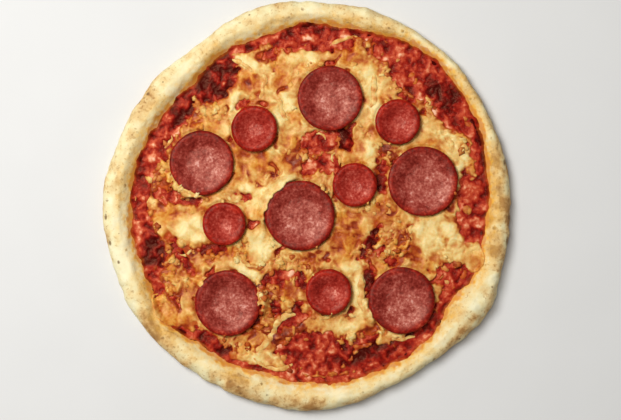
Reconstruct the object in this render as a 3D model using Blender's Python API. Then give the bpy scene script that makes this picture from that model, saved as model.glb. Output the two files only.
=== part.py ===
"""A whole baked pizza, uncut, topped with tomato sauce, melted cheese and two sizes of cured sausage slice.

Metres, +Z up. The pizza lies flat on Z = 0 with the middle of its outline at the origin, and +Y is the side
that is uppermost when it is seen from above. Places in the tables are in millimetres from the dough's centre.
"""

import math

import bmesh
import bpy
from mathutils import Vector, noise

MM = 0.001

# Heights of the layers
BASE_TOP = 4.5 * MM
SAUCE_TOP = 6.2 * MM
LAYER_GAP = 0.3 * MM
CHEESE_BOTTOM = SAUCE_TOP + LAYER_GAP
SLICE_BED = 8.0 * MM

# Dough: mean outline, and the rolled rim that rises round the sauce
OUTLINE_RADIUS = 150.3 * MM
SAUCE_RADIUS = 128.6 * MM
RIM_FOOT_WIDTH = 5.0 * MM
RIM_LEAST_HEIGHT = 9.3 * MM
RIM_HEIGHT_PER_WIDTH = 0.26
RIM_WIDEST_HEIGHT = 5.5 * MM
RIM_BOTTOM_ROUNDING = 6.0 * MM
CREST_SHARE = 0.44
RIM_UNEVENNESS = 0.5 * MM
RIM_UNEVENNESS_SPREAD = 4.5
RIM_CLIMB_SHARES = (0.35, 0.7, 1.0)
RIM_TOP_DEGREES = (28, 52, 74, 90)
RIM_UNDERSIDE_DEGREES = (35, 65, 90)

# Where the hand-stretched outline swells or flattens: direction in degrees, amount in mm, half-spread in degrees
OUTLINE_SWELLS = (
    (56, 1.6, 19),
    (124, -7.1, 12),
    (152, -5.8, 20),
    (193, -2.2, 11),
    (236, -2.8, 29),
    (300, -3.9, 15),
    (331, 5.1, 10),
)
# The same for the edge of the sauce, which runs up the rim most at the upper right
SAUCE_SWELLS = (
    (20, 7.3, 34),
    (51, 12.1, 25),
    (88, 5.4, 11),
    (132, -5.9, 8),
    (148, -3.6, 12),
    (201, -1.4, 8),
    (219, 5.0, 8),
    (256, -1.9, 8),
    (302, 4.9, 33),
    (326, -4.0, 8),
    (340, 3.3, 8),
)

# Sauce left bare by the cheese: x, y, half length, half width in mm, turn in degrees
BARE_SAUCE = (
    (122, 0, 27, 11, 88),
    (127, 42, 18, 6, 104),
    (108, 76, 27, 15, 128),
    (80, 98, 25, 15, 135),
    (62, 113, 16, 8, 165),
    (6, 124, 34, 10, 0),
    (-38, 119, 16, 5, 22),
    (-66, 95, 21, 14, 55),
    (-92, 70, 16, 9, 50),
    (-105, 48, 22, 8, 62),
    (-118, 18, 18, 7, 78),
    (-121, -12, 18, 7, 96),
    (-112, -33, 14, 9, 108),
    (-110, -57, 15, 5, 118),
    (-70, -103, 19, 8, 142),
    (-20, -125, 22, 4, 176),
    (8, -108, 27, 16, 0),
    (50, -112, 26, 9, 22),
    (85, -95, 22, 8, 42),
    (104, -72, 15, 7, 58),
    (112, -53, 12, 8, 20),
    (10, 47, 14, 8, 8),
    (16, 31, 8, 8, 0),
    (29, 49, 4, 9, 12),
    (-103, 8, 10, 5, 0),
    (-22, -54, 12, 5, 20),
    (-9, -79, 9, 5, 45),
    (48, -26, 11, 4, 60),
    (-89, -40, 9, 4, 130),
)
CHEESE_SETBACK = 5.0 * MM
CHEESE_THICKNESS = 1.7 * MM
CHEESE_EDGE_THICKNESS = 0.6 * MM
CHEESE_EDGE_ROUNDING = 3.5 * MM
CHEESE_LUMP_HEIGHT = 0.9 * MM
CHEESE_LUMP_WIDTH = 8.0 * MM
CHEESE_EDGE_WOBBLE = 2.6 * MM
CHEESE_WOBBLE_WIDTH = 9.0 * MM
CHEESE_MESH_STEP = 4.8 * MM
CHEESE_MESH_MARGIN = 0.25 * CHEESE_MESH_STEP
SAUCE_LUMP_DEPTH = 0.9 * MM
SAUCE_LUMP_WIDTH = 6.0 * MM
SAUCE_RING_SHARES = (0.35, 0.58, 0.74, 0.83, 0.9)
SAUCE_LEVEL_UNDER_CHEESE = 1.5 * MM
SAUCE_DIMPLES_GROW_OVER = 4.0 * MM
SAUCE_FILM = 0.45 * MM

# Sausage slices: x, y and radius in mm, and how far the edge curls up
SALAMI_SLICES = (
    (18.0, 79.0, 24.3, 0.9),
    (-76.0, 31.5, 24.0, 0.9),
    (86.0, 18.0, 26.0, 1.0),
    (-4.0, -7.0, 26.0, 0.9),
    (-57.0, -71.0, 24.4, 1.0),
    (70.5, -69.0, 24.7, 0.9),
)
PEPPERONI_SLICES = (
    (-37.5, 56.5, 17.2, 1.4),
    (67.5, 61.5, 17.0, 1.3),
    (36.0, 15.5, 16.5, 1.3),
    (-59.5, -13.0, 16.2, 1.3),
    (17.0, -63.0, 17.2, 1.5),
)
SLICE_THICKNESS = 1.8 * MM
SLICE_WAVINESS = 0.02
SLICE_CURL_POWER = 5
# The section of a slice from the middle out and back underneath: share of its radius, share of its thickness
SLICE_SECTION = ((0.5, 1.0), (0.8, 1.0), (0.97, 1.0), (1.0, 0.72), (1.0, 0.25), (0.8, 0.0))
SLICE_CHEESE_CLEARANCE = 3.5 * MM
SLICE_BED_INSET = 2.5 * MM

RIM_SEGMENTS = 96
SALAMI_SEGMENTS = 26
PEPPERONI_SEGMENTS = 20

# Colours are linear RGB, with roughness
DOUGH_LOOK = ((0.80, 0.62, 0.36), 0.75)
SAUCE_LOOK = ((0.36, 0.025, 0.012), 0.35)
CHEESE_LOOK = ((0.78, 0.50, 0.19), 0.40)
SALAMI_LOOK = ((0.30, 0.065, 0.055), 0.45)
PEPPERONI_LOOK = ((0.42, 0.035, 0.025), 0.40)


def smooth(share):
    """0 to 1 with a level start and end."""
    share = min(1.0, max(0.0, share))
    return share * share * (3 - 2 * share)


def swollen_radius(angle, mean, swells):
    """A mean radius with rounded swells and flats at given directions."""
    radius = mean
    for direction, amount, spread in swells:
        away = (math.degrees(angle) - direction + 180) % 360 - 180
        radius += amount * MM * math.exp(-((away / spread) ** 2))
    return radius


def unevenness(angle, layer):
    """Smooth random waviness round the rim, -1 to 1, which joins up after a whole turn."""
    spread = RIM_UNEVENNESS_SPREAD
    return noise.noise(Vector((spread * math.cos(angle), spread * math.sin(angle), layer)))


def outer_radius(angle):
    return swollen_radius(angle, OUTLINE_RADIUS, OUTLINE_SWELLS) + RIM_UNEVENNESS * unevenness(angle, 1)


def sauce_radius(angle):
    return swollen_radius(angle, SAUCE_RADIUS, SAUCE_SWELLS) + 2 * RIM_UNEVENNESS * unevenness(angle, 5)


def crest(angle):
    """Radius and height of the top of the rim. A wider roll of dough has risen higher."""
    width = outer_radius(angle) - sauce_radius(angle)
    height = RIM_LEAST_HEIGHT + RIM_HEIGHT_PER_WIDTH * width + RIM_UNEVENNESS * unevenness(angle, 9)
    return outer_radius(angle) - CREST_SHARE * width, height


def dough_height(radius, angle):
    """Height of the dough's upper face, from the flat middle up to the crest of the rim."""
    foot = sauce_radius(angle) - RIM_FOOT_WIDTH
    crest_radius, crest_height = crest(angle)
    return BASE_TOP + (crest_height - BASE_TOP) * smooth((radius - foot) / (crest_radius - foot))


def at(radius, angle, height):
    return Vector((radius * math.cos(angle), radius * math.sin(angle), height))


def dough_profile(angle):
    """The dough's section at one direction, from the foot of the rim over its top and round to the underside."""
    edge = sauce_radius(angle)
    outer = outer_radius(angle)
    crest_radius, crest_height = crest(angle)
    climb = crest_radius - edge
    radii = [edge - RIM_FOOT_WIDTH, edge - RIM_FOOT_WIDTH / 2, edge]
    radii += [edge + climb * share for share in RIM_CLIMB_SHARES]
    profile = [at(radius, angle, dough_height(radius, angle)) for radius in radii]
    for degrees in RIM_TOP_DEGREES:
        lean = math.radians(degrees)
        radius = crest_radius + (outer - crest_radius) * math.sin(lean)
        height = RIM_WIDEST_HEIGHT + (crest_height - RIM_WIDEST_HEIGHT) * math.cos(lean)
        profile.append(at(radius, angle, height))
    for degrees in RIM_UNDERSIDE_DEGREES:
        lean = math.radians(degrees)
        radius = outer - RIM_BOTTOM_ROUNDING * (1 - math.cos(lean))
        profile.append(at(radius, angle, RIM_WIDEST_HEIGHT * (1 - math.sin(lean))))
    return profile


def patch_depth(x, y):
    """How far a point lies inside the nearest bare patch of sauce, negative outside all of them."""
    depth = -1.0
    for patch_x, patch_y, half_length, half_width, turn in BARE_SAUCE:
        cosine, sine = math.cos(math.radians(turn)), math.sin(math.radians(turn))
        east, north = x - patch_x * MM, y - patch_y * MM
        along = (east * cosine + north * sine) / (half_length * MM)
        across = (north * cosine - east * sine) / (half_width * MM)
        reach = math.hypot(along, across)
        depth = max(depth, (1 - reach) * half_width * MM)
    return depth


def clear_of_slices(x, y):
    """Distance to the edge of the nearest slice, negative under it."""
    return min(
        math.hypot(x - slice_x * MM, y - slice_y * MM) - radius * MM
        for slice_x, slice_y, radius, _ in SALAMI_SLICES + PEPPERONI_SLICES
    )


def cheese_margin(x, y):
    """Distance inside the cheese's ragged edge, negative where the sauce is bare."""
    wobble = noise.noise(Vector((x / CHEESE_WOBBLE_WIDTH, y / CHEESE_WOBBLE_WIDTH, 3.0)))
    rim = sauce_radius(math.atan2(y, x)) - CHEESE_SETBACK - math.hypot(x, y)
    ragged = min(rim, -patch_depth(x, y) + CHEESE_EDGE_WOBBLE * wobble)
    return max(ragged, -SLICE_BED_INSET - clear_of_slices(x, y))


def cheese_height(x, y):
    """Upper face of the cheese: thin at its edge, lumpy, and flat where a slice is bedded in it."""
    place = Vector((x / CHEESE_LUMP_WIDTH, y / CHEESE_LUMP_WIDTH, 7.0))
    lumps = noise.noise(place) + 0.5 * noise.noise(place * 2.1)
    inward = smooth(cheese_margin(x, y) / CHEESE_EDGE_ROUNDING)
    thickness = CHEESE_EDGE_THICKNESS + (CHEESE_THICKNESS - CHEESE_EDGE_THICKNESS) * inward
    thickness += CHEESE_LUMP_HEIGHT * inward * lumps
    height = CHEESE_BOTTOM + max(CHEESE_EDGE_THICKNESS, thickness)
    apart = smooth(clear_of_slices(x, y) / SLICE_CHEESE_CLEARANCE)
    return min(height, SLICE_BED) * (1 - apart) + height * apart


def bare_sauce_height(x, y):
    """Upper face of the sauce: level under the cheese, dimpled where it is bare."""
    bare = smooth((-cheese_margin(x, y) - SAUCE_LEVEL_UNDER_CHEESE) / SAUCE_DIMPLES_GROW_OVER)
    place = Vector((x / SAUCE_LUMP_WIDTH, y / SAUCE_LUMP_WIDTH, 11.0))
    return SAUCE_TOP - SAUCE_LUMP_DEPTH * bare * abs(noise.noise(place)) ** 0.5


def material(name, look):
    colour, roughness = look
    made = bpy.data.materials.new(name)
    made.use_nodes = True
    surface = made.node_tree.nodes["Principled BSDF"]
    surface.inputs["Base Color"].default_value = (*colour, 1.0)
    surface.inputs["Roughness"].default_value = roughness
    surface.inputs["Metallic"].default_value = 0.0
    made.diffuse_color = (*colour, 1.0)
    return made


def finished_object(name, shape, look):
    """A bmesh made into a named object with outward faces and its material."""
    bmesh.ops.recalc_face_normals(shape, faces=shape.faces)
    mesh = bpy.data.meshes.new(name)
    shape.to_mesh(mesh)
    shape.free()
    mesh.materials.append(look)
    mesh.shade_smooth()
    made = bpy.data.objects.new(name, mesh)
    bpy.context.scene.collection.objects.link(made)
    return made


def closed_rings(name, top, rings, bottom, look):
    """A closed solid skinned over rings of equal count, with a fan to one point at each end."""
    shape = bmesh.new()
    loops = [[shape.verts.new(point) for point in ring] for ring in rings]
    count = len(loops[0])
    for first, second in zip(loops, loops[1:]):
        for i in range(count):
            j = (i + 1) % count
            shape.faces.new((first[i], first[j], second[j], second[i]))
    for tip, loop in ((top, loops[0]), (bottom, loops[-1])):
        point = shape.verts.new(tip)
        for i in range(count):
            shape.faces.new((loop[i], loop[(i + 1) % count], point))
    return finished_object(name, shape, look)


def directions(count):
    return [2 * math.pi * i / count for i in range(count)]


def make_crust(look):
    """The baked dough: a flat base in one piece with its rounded, uneven rim."""
    profiles = [dough_profile(angle) for angle in directions(RIM_SEGMENTS)]
    rings = list(zip(*profiles))
    return closed_rings("crust", at(0, 0, BASE_TOP), rings, at(0, 0, 0), look)


def make_sauce(look):
    """The layer of tomato sauce, level under the cheese and drawn a little way up the rim."""
    rings = []
    for share in SAUCE_RING_SHARES:
        ring = []
        for angle in directions(RIM_SEGMENTS):
            flat = at(share * sauce_radius(angle), angle, 0)
            ring.append(Vector((flat.x, flat.y, bare_sauce_height(flat.x, flat.y))))
        rings.append(ring)
    upper = [[], [], []]
    lower = [[], [], []]
    for angle in directions(RIM_SEGMENTS):
        edge = sauce_radius(angle)
        upper[0].append(at(edge - RIM_FOOT_WIDTH, angle, SAUCE_TOP))
        half_way = edge - RIM_FOOT_WIDTH / 2
        raised = max(SAUCE_TOP, dough_height(half_way, angle) + 2 * LAYER_GAP + SAUCE_FILM)
        upper[1].append(at(half_way, angle, raised))
        upper[2].append(at(edge - SAUCE_FILM, angle, dough_height(edge, angle) + LAYER_GAP + SAUCE_FILM))
        for ring, back in zip(lower, (0, RIM_FOOT_WIDTH / 2, RIM_FOOT_WIDTH)):
            height = dough_height(edge - back, angle) + LAYER_GAP
            ring.append(at(edge - back, angle, height))
    rings += upper + lower
    return closed_rings("tomato_sauce", at(0, 0, SAUCE_TOP), rings, at(0, 0, BASE_TOP + LAYER_GAP), look)


def lattice_triangles(reach):
    """Points of an even triangular lattice over a disc, and the triangles that join them."""
    row_step = CHEESE_MESH_STEP * math.sqrt(3) / 2
    half = math.ceil(reach / row_step)
    points = {}
    for row in range(-half, half + 1):
        for column in range(-half, half + 1):
            offset = 0.5 * (row % 2)
            points[row, column] = ((column + offset) * CHEESE_MESH_STEP, row * row_step)
    triangles = []
    for row in range(-half, half):
        for column in range(-half, half):
            right = column + 1
            shifted, unshifted = (column, right) if row % 2 else (right, column)
            low, low_right = (row, column), (row, right)
            high, high_right = (row + 1, column), (row + 1, right)
            if row % 2:
                triangles += [(low, low_right, high_right), (low, high_right, high)]
            else:
                triangles += [(low, low_right, high), (low_right, high_right, high)]
    return points, triangles


def edge_crossing(inside, outside):
    """The point between two places at which the cheese ends, or the outer one if it is in the cheese."""
    if cheese_margin(*outside) >= 0:
        return outside
    for _ in range(12):
        middle = ((inside[0] + outside[0]) / 2, (inside[1] + outside[1]) / 2)
        if cheese_margin(*middle) > 0:
            inside = middle
        else:
            outside = middle
    return inside


def make_cheese(look):
    """One melted sheet with a ragged edge and holes, flat below and lumpy above."""
    points, triangles = lattice_triangles(SAUCE_RADIUS + 15 * MM)
    inside = {key for key, place in points.items() if cheese_margin(*place) > CHEESE_MESH_MARGIN}
    kept = [corners for corners in triangles if inside.intersection(corners)]
    kept = without_pinches(kept)
    shape = bmesh.new()
    verts = {}
    for corners in kept:
        for key in corners:
            if key not in verts:
                place = points[key]
                if key not in inside:
                    place = pulled_in(key, kept, points, inside)
                verts[key] = shape.verts.new((place[0], place[1], CHEESE_BOTTOM))
    for corners in kept:
        shape.faces.new([verts[key] for key in corners])
    extruded = bmesh.ops.extrude_face_region(shape, geom=shape.faces[:])
    for item in extruded["geom"]:
        if isinstance(item, bmesh.types.BMVert):
            item.co.z = cheese_height(item.co.x, item.co.y)
    flat = [edge for edge in shape.edges if edge.calc_face_angle(1.0) < math.radians(0.2)]
    bmesh.ops.dissolve_limit(
        shape, angle_limit=math.radians(0.2), verts=[], edges=flat, use_dissolve_boundaries=False
    )
    return finished_object("melted_cheese", shape, look)


def pulled_in(key, kept, points, inside):
    """A lattice point just outside the cheese, moved on to its edge."""
    partners = {other for corners in kept if key in corners for other in corners if other in inside}
    found = [edge_crossing(points[other], points[key]) for other in sorted(partners)]
    return tuple(sum(place[axis] for place in found) / len(found) for axis in (0, 1))


def without_pinches(kept):
    """Drops triangles that touch the rest of the sheet at one corner only, and loose scraps."""
    while True:
        at_corner = {}
        for index, corners in enumerate(kept):
            for key in corners:
                at_corner.setdefault(key, []).append(index)
        loose = set()
        for indices in at_corner.values():
            for fan in connected(indices, kept)[1:]:
                loose |= set(fan)
        if not loose:
            break
        kept = [corners for index, corners in enumerate(kept) if index not in loose]
    sheets = connected(range(len(kept)), kept)
    return [kept[index] for index in sorted(sheets[0])]


def connected(indices, triangles):
    """Groups of triangles joined by shared edges, the largest first."""
    by_edge = {}
    for index in indices:
        corners = triangles[index]
        for i in range(3):
            by_edge.setdefault(frozenset((corners[i], corners[(i + 1) % 3])), []).append(index)
    neighbours = {index: set() for index in indices}
    for sharing in by_edge.values():
        for index in sharing:
            neighbours[index] |= set(sharing)
    groups = []
    left = set(indices)
    while left:
        group = set()
        reached = [min(left)]
        while reached:
            index = reached.pop()
            if index not in group:
                group.add(index)
                reached += neighbours[index] - group
        groups.append(sorted(group))
        left -= group
    return sorted(groups, key=lambda group: (-len(group), group[0]))


def make_slice(name, centre, radius, curl, segments, look):
    """A thin round slice whose edge curls up, modelled about its own middle and set on its bed of cheese."""
    def section_point(direction, share, height_share):
        wave = noise.noise(Vector((1.5 * math.cos(direction), 1.5 * math.sin(direction), centre.x / MM)))
        reach = radius * share * (1 + SLICE_WAVINESS * (wave - 1))
        return at(reach, direction, SLICE_THICKNESS * height_share + curl * share**SLICE_CURL_POWER)

    rings = [
        [section_point(direction, share, height_share) for direction in directions(segments)]
        for share, height_share in SLICE_SECTION
    ]
    made = closed_rings(name, at(0, 0, SLICE_THICKNESS), rings, at(0, 0, 0), look)
    made.location = (centre.x, centre.y, SLICE_BED + LAYER_GAP)
    return made


def make_slices(group, table, segments, look):
    made = []
    for number, (x, y, radius, curl) in enumerate(table, start=1):
        centre = Vector((x * MM, y * MM))
        made.append(make_slice(f"{group}_slice_{number}", centre, radius * MM, curl * MM, segments, look))
    return made


def centre_on_origin(crust, pieces):
    """Parents the pizza to an empty, moved so that the middle of the outline is at the origin."""
    middle = bpy.data.objects.new("pizza", None)
    bpy.context.scene.collection.objects.link(middle)
    for axis in (0, 1):
        reach = [vert.co[axis] for vert in crust.data.vertices]
        middle.location[axis] = -(min(reach) + max(reach)) / 2
    for piece in pieces:
        piece.parent = middle


def main():
    for old in list(bpy.data.objects):
        bpy.data.objects.remove(old)
    crust = make_crust(material("baked_dough", DOUGH_LOOK))
    pieces = [crust]
    pieces.append(make_sauce(material("tomato_sauce", SAUCE_LOOK)))
    pieces.append(make_cheese(material("melted_cheese", CHEESE_LOOK)))
    salami = material("salami", SALAMI_LOOK)
    pepperoni = material("pepperoni", PEPPERONI_LOOK)
    pieces += make_slices("salami", SALAMI_SLICES, SALAMI_SEGMENTS, salami)
    pieces += make_slices("pepperoni", PEPPERONI_SLICES, PEPPERONI_SEGMENTS, pepperoni)
    centre_on_origin(crust, pieces)


main()
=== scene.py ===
"""A whole baked pizza on a pale floor, seen from straight above.

Lengths are in millimetres from the dough's centre until a mesh is made, when they turn into metres in the
frame of the solids. Angles are in degrees, counted from +X towards +Y.
"""

import itertools
import math

import bmesh
import bpy
import numpy as np
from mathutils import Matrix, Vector, geometry, noise


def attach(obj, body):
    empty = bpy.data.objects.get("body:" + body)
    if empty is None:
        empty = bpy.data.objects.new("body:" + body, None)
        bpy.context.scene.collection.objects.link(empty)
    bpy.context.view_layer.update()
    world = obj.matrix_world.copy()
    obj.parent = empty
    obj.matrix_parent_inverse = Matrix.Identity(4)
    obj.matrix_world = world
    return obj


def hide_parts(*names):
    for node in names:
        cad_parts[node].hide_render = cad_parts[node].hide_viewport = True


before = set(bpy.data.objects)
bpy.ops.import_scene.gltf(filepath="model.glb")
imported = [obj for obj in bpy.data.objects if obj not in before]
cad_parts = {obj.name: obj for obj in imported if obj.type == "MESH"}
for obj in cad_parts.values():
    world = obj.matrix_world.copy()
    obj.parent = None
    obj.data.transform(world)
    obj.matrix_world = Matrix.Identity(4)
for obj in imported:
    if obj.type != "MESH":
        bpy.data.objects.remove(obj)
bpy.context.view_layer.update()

MM = 0.001

# Heights of the layers, as in the solids
BASE_TOP = 4.5
SAUCE_TOP = 6.2
CHEESE_BOTTOM = 6.5
SLICE_BED = 8.0
SLICE_SEAT = 8.3
SLICE_THICKNESS = 1.8

# The dough's outline, the sauce's edge and the rim between them
OUTLINE_RADIUS = 150.3
SAUCE_RADIUS = 128.6
RIM_FOOT_WIDTH = 5.0
RIM_LEAST_HEIGHT = 9.3
RIM_HEIGHT_PER_WIDTH = 0.26
RIM_WIDEST_HEIGHT = 5.5
RIM_BOTTOM_ROUNDING = 6.0
CREST_SHARE = 0.44
# The rim's inner side reaches its crest a little early, so that it stands steeper than in the solids
INNER_STEEPNESS = 1.15
RIM_FOLD_DEPTH = 1.3
BLISTER_HEIGHT = 0.45
BLISTER_SPACING = 15
RIM_UNEVENNESS = 0.5
RIM_UNEVENNESS_SPREAD = 4.5
OUTLINE_DIRECTIONS = 96

# How finely the pieces are divided: turns, rings and sides are counts, steps and reaches are in mm, and a
# loose part of a layer is dropped when it has fewer triangles than the smallest part
CRUST_TURNS = 900
SLICE_TURNS = 150
STRAND_RINGS = 40
STRAND_SIDES = 12
SAUCE_MESH_STEP = 0.95
SAUCE_MESH_REACH = 150
SAUCE_SMALLEST_PART = 500
CHEESE_MESH_STEP = 0.8
CHEESE_MESH_REACH = 141
CHEESE_SMALLEST_PART = 14

# Where the outline swells or flattens: direction, amount, half-spread in degrees
OUTLINE_SWELLS = (
    (56, 1.6, 19), (124, -7.1, 12), (152, -5.8, 20), (193, -2.2, 11), (236, -2.8, 29), (300, -3.9, 15),
    (331, 5.1, 10),
)
SAUCE_SWELLS = (
    (20, 7.3, 34), (51, 12.1, 25), (88, 5.4, 11), (132, -5.9, 8), (148, -3.6, 12), (201, -1.4, 8),
    (219, 5.0, 8), (256, -1.9, 8), (302, 4.9, 33), (326, -4.0, 8), (340, 3.3, 8),
)

# Sauce left bare by the cheese: x, y, half length, half width, turn
BARE_SAUCE = (
    (122, 0, 27, 11, 88), (127, 42, 18, 6, 104), (108, 76, 27, 15, 128), (80, 98, 25, 15, 135),
    (62, 113, 16, 8, 165), (6, 124, 34, 10, 0), (-38, 119, 16, 5, 22), (-66, 95, 21, 14, 55),
    (-92, 70, 16, 9, 50), (-105, 48, 22, 8, 62), (-118, 18, 18, 7, 78), (-121, -12, 18, 7, 96),
    (-112, -33, 14, 9, 108), (-110, -57, 15, 5, 118), (-70, -103, 19, 8, 142), (-20, -125, 22, 4, 176),
    (8, -108, 27, 16, 0), (50, -112, 26, 9, 22), (85, -95, 22, 8, 42), (104, -72, 15, 7, 58),
    (112, -53, 12, 8, 20), (10, 47, 14, 8, 8), (16, 31, 8, 8, 0), (29, 49, 5, 9.5, 12),
    (-103, 8, 10, 5, 0), (-22, -54, 12, 5, 20), (-9, -79, 9, 5, 45), (48, -26, 11, 4, 60),
    (-89, -40, 9, 4, 130),
)
CHEESE_SETBACK = 5.0
CHEESE_EDGE_WOBBLE = 2.6
CHEESE_WOBBLE_WIDTH = 9.0
CHEESE_LUMP_HEIGHT = 0.9
CHEESE_LUMP_WIDTH = 8.0
CHEESE_THICKNESS = 1.7
# How far the cheese's sides go down into the sauce, and how far a spill draws its edge out
CHEESE_SKIRT = 1.5
SPILL_REACH = 11
SLICE_BED_INSET = 2.5

# Slices: x, y, radius, curl of the edge
SALAMI_SLICES = (
    (18.0, 79.0, 24.3, 0.9), (-76.0, 31.5, 24.0, 0.9), (86.0, 18.0, 26.0, 1.0), (-4.0, -7.0, 26.0, 0.9),
    (-57.0, -71.0, 24.4, 1.0), (70.5, -69.0, 24.7, 0.9),
)
PEPPERONI_SLICES = (
    (-37.5, 56.5, 17.2, 1.4), (67.5, 61.5, 17.0, 1.3), (36.0, 15.5, 16.5, 1.3),
    (-59.5, -13.0, 16.2, 1.3), (17.0, -63.0, 17.2, 1.5),
)
ALL_SLICES = SALAMI_SLICES + PEPPERONI_SLICES
SLICE_EDGE_ROUNDING = 0.75
SLICE_UNDERSIDE_ROUNDING = 0.4
# A slice is palest this share of its radius to the right of its middle and as far below it, a painted
# sheen where its dished lower right side would catch the lamp
PAINTED_SHEEN_SHIFT = 0.22

# Small gaps in the cheese, most of them beside slices: x, y, half length, half width, turn
SMALL_GAPS = (
    (56, 22, 11, 3.4, 84), (47, -56, 8, 3.2, 96), (-66, -32, 10, 3.6, 4), (-93, -36, 10, 2.6, 120),
    (22, 29, 6, 3.6, 130), (4, 28, 6, 5, 60), (-27, 111, 6, 3.6, 10), (-3, -54, 7, 3.4, 100),
    (-22, -74, 3.2, 7, 20), (-8, -84, 11, 3.0, 30), (-36, -84, 3.0, 7, 150), (44, -98, 9, 3.0, 20),
    (56, -32, 2.6, 6, 160), (62, -40, 5, 2.4, 0), (102, -47, 9, 3.0, 8), (-82, 4, 7, 2.6, 10),
    (-48, 8, 5, 1.8, 150), (76, 78, 5, 2.6, 140), (-44, 76, 6, 2.8, 40),
)

# Cheese that has run over a slice's edge: slice, direction and half-spread in degrees, reach, height
CHEESE_LIPS = (
    (3, 146, 46, 2.4, 2.2), (1, 245, 26, 2.6, 0.7), (4, 8, 24, 3.0, 0.8), (5, 200, 18, 1.0, 0.5),
)

# Cheese that has run up on to the rim: x, y, half length, half width, turn, strength
CHEESE_SPILLS = (
    (-104, -77, 13, 7, 130, 1.0), (125, -39, 7, 9, 0, 0.9), (-117, 4, 7, 8, 0, 0.5),
)

# Tints of the cheese: x, y, half length, half width, turn, strength
PALE_CHEESE = (
    (-44, 106, 14, 5, 150, 0.9), (-28, 92, 5, 16, 10, 0.5), (-16, 72, 5, 16, -25, 0.8),
    (2, 111, 14, 6, 10, 0.7), (50, 82, 5, 22, 4, 0.9), (60, 90, 8, 4, 30, 0.6),
    (-52, 72, 4, 12, 0, 0.9), (-62, 56, 5, 9, 30, 0.7), (-25, 12, 24, 5.5, 35, 1.0),
    (-48, 10, 10, 5, 40, 0.8), (47, 38, 4, 10, 10, 0.8), (114, 25, 4, 14, -12, 1.0),
    (106, 45, 10, 6, 120, 0.7), (95, 62, 8, 5, 40, 0.6), (-84, -18, 11, 9, 0, 1.0),
    (-33, -32, 9, 9, 0, 0.9), (-46, -46, 14, 3, 150, 0.9), (95, -20, 15, 12, 20, 0.9),
    (110, -30, 10, 10, 0, 0.6), (40, -66, 5, 22, 0, 1.0), (28, -88, 12, 5, 0, 0.9),
    (72, -97, 12, 3, 5, 0.8), (-32, -113, 12, 6, 20, 0.9), (-48, -117, 7, 4, 160, 0.7),
    (33, -45, 7, 5, 20, 0.7), (-2, 57, 12, 4, 20, 0.7),
)
GOLDEN_CHEESE = (
    (-38, 92, 9, 12, 0, 0.7), (36, 115, 13, 8, 30, 0.9), (-74, 62, 16, 7, 10, 0.8),
    (-42, 36, 12, 12, 0, 0.7), (-14, 42, 9, 12, 0, 0.7), (-102, -6, 16, 8, 10, 0.8),
    (-92, -52, 14, 14, 0, 0.7), (-100, -78, 16, 7, 130, 1.0), (27, -20, 14, 14, 0, 0.9),
    (56, -4, 12, 8, 0, 0.6), (72, -30, 10, 14, 0, 0.7), (130, -40, 8, 8, 0, 0.8),
    (-30, -84, 12, 6, 40, 0.8), (0, -42, 10, 7, 0, 0.8), (-14, -64, 8, 8, 0, 0.6),
    (98, 64, 9, 6, 130, 0.7), (30, -102, 12, 6, 0, 0.6), (-58, -36, 14, 5, 0, 0.6),
)
# Ruddy where the sauce shows through; a few rows beside slices are painted shade
RUDDY_AND_SHADED_CHEESE = (
    (-30, 110, 7, 5, 0, 1.0), (-14, 86, 5, 4, 0, 0.6), (-108, 14, 12, 12, 0, 0.6),
    (-28, 18, 7, 4, 20, 0.7), (62, 38, 8, 8, 0, 0.8), (75, -26, 7, 14, 0, 0.45),
    (-66, -33, 9, 5, 0, 1.0), (-4, 30, 8, 10, 0, 0.8), (-10, -92, 16, 8, 40, 0.7),
    (-92, -34, 12, 5, 0, 0.9), (45, -94, 12, 6, 30, 0.7), (-38, -70, 8, 10, 0, 0.7),
    (60, -110, 10, 5, 0, 0.8), (-112, 30, 8, 12, 0, 0.7), (105, 2, 6, 8, 0, 0.5),
    (-40, -90, 12, 5, 40, 0.6), (10, -36, 10, 5, 20, 0.6), (54, 24, 5, 8, 0, 0.8),
)
# A thick gob of sauce in a gap between two slices, and sauce that has baked dark, with some rows in the
# gaps beside slices that are painted shade: rows as above
THICK_SAUCE = ((29, 49, 3.4, 7.5, 12, 1.0),)
THICK_SAUCE_RISE = 1.3
DARK_AND_SHADED_SAUCE = (
    (-110, -33, 9, 12, 0, 1.0), (-66, 93, 18, 13, 40, 0.9), (-90, 72, 18, 8, 50, 0.65),
    (-104, 48, 16, 6, 62, 0.3), (102, 82, 14, 9, 140, 0.85), (-62, -101, 16, 6, 160, 0.8),
    (48, -106, 26, 8, 17, 0.95), (2, 130, 30, 5, 0, 0.5), (129, 48, 5, 20, 12, 0.7),
    (48, -26, 12, 6, 60, 0.9), (29, 49, 6, 10, 12, 0.8), (-66, -33, 9, 5, 0, 0.8),
    (-89, -40, 6, 8, 0, 0.7), (-121, 20, 8, 16, 0, 0.2), (97, -82, 12, 6, 50, 0.6),
    (-12, -76, 8, 6, 0, 0.7), (56, 22, 11, 4, 84, 0.8), (47, -56, 8, 4, 96, 1.0),
    (-22, -74, 4, 7, 20, 0.7), (-36, -84, 4, 7, 150, 0.8), (-3, -54, 7, 4, 100, 0.7),
)
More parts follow.
